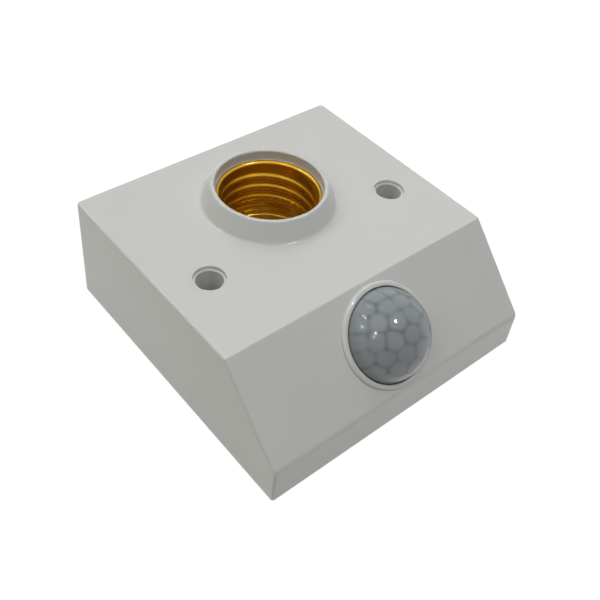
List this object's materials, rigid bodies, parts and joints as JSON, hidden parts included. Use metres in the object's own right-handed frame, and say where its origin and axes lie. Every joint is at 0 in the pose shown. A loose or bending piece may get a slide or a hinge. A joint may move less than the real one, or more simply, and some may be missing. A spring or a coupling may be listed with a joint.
{
  "type": "motion sensor lamp holder",
  "caption": "Square white surface-mounted lamp holder: Edison screw socket on its flat top, domed motion sensor lens on its sloping front.",
  "frame": {"origin": "centre of the flat mounting face at the back of the housing", "axes": "+Z out of the mounting face along the lamp's axis, +Y away from the sloping front that holds the sensor's lens, +X to the right seen from the lens"},
  "size_m": [0.086, 0.0885, 0.0376],
  "materials": {
    "white_abs": "moulded, glossy",
    "white_abs_back": "moulded, matt",
    "gold_brass": "rolled, gold-coloured, bright",
    "nickel_brass": "nickel plated",
    "nickel_can": "drawn, nickel plated",
    "phosphor_bronze": "stamped strip",
    "tinned_brass": "stamped, tinned",
    "zinc_steel": "zinc plated",
    "lens_polyethylene": "translucent, moulded",
    "circuit_board": "solder mask over glass-fibre board",
    "infrared_filter": "coated silicon, dark",
    "light_cell_ceramic": "clear coat over a ceramic disc",
    "relay_case": "moulded",
    "capacitor_box": "epoxy-filled box",
    "capacitor_sleeve": "shrunk sleeve on an aluminium can",
    "chip_epoxy": "moulded epoxy",
    "trimmer_base": "moulded",
    "trimmer_rotor": "moulded",
    "terminal_polyamide": "moulded",
    "cage_brass": "machined",
    "lead_brown": "extruded insulation",
    "lead_blue": "extruded insulation",
    "ribbon_grey": "extruded insulation",
    "resistor_lacquer": "lacquered"
  },
  "bodies": {
    "holder": {"housing": "white_abs", "back_cover": "white_abs_back", "back_cover_screws": "zinc_steel", "screw_shell": "gold_brass", "shell_eyelets": "nickel_brass", "centre_contact": "phosphor_bronze", "contact_rivet": "nickel_brass", "contact_tag": "tinned_brass", "shell_tag": "tinned_brass", "lens_dome": "lens_polyethylene", "lens_retainer": "white_abs_back", "sensor_board": "circuit_board", "sensor_board_screws": "zinc_steel", "sensor_header": "nickel_brass", "sensor_can": "nickel_can", "sensor_window": "infrared_filter", "light_cell": "light_cell_ceramic", "main_board": "circuit_board", "main_board_screws": "zinc_steel", "relay": "relay_case", "dropper_capacitor": "capacitor_box", "smoothing_capacitor": "capacitor_sleeve", "control_chip": "chip_epoxy", "bridge_rectifier": "chip_epoxy", "time_trimmer_base": "trimmer_base", "light_trimmer_base": "trimmer_base", "terminal_block": "terminal_polyamide", "terminal_cages": "cage_brass", "terminal_screws": "zinc_steel", "terminal_block_screw": "zinc_steel", "live_lead": "lead_brown", "neutral_lead": "lead_blue", "contact_lead": "lead_brown", "shell_lead": "lead_blue", "sensor_ribbon": "ribbon_grey", "resistor_1": "resistor_lacquer", "resistor_2": "resistor_lacquer", "resistor_3": "resistor_lacquer", "resistor_4": "resistor_lacquer"},
    "time_trimmer": {"time_trimmer_rotor": "trimmer_rotor"},
    "light_trimmer": {"light_trimmer_rotor": "trimmer_rotor"}
  },
  "joints": [
    {"name": "time_trimmer_turn", "type": "hinge", "parent": "holder", "child": "time_trimmer", "pos_m": [-0.02, -0.02585, 0.0044], "axis": [0, 0, -1], "range_deg": [-105, 105]},
    {"name": "light_trimmer_turn", "type": "hinge", "parent": "holder", "child": "light_trimmer", "pos_m": [0.02, -0.02585, 0.0044], "axis": [0, 0, -1], "range_deg": [-105, 105]}
  ]
}
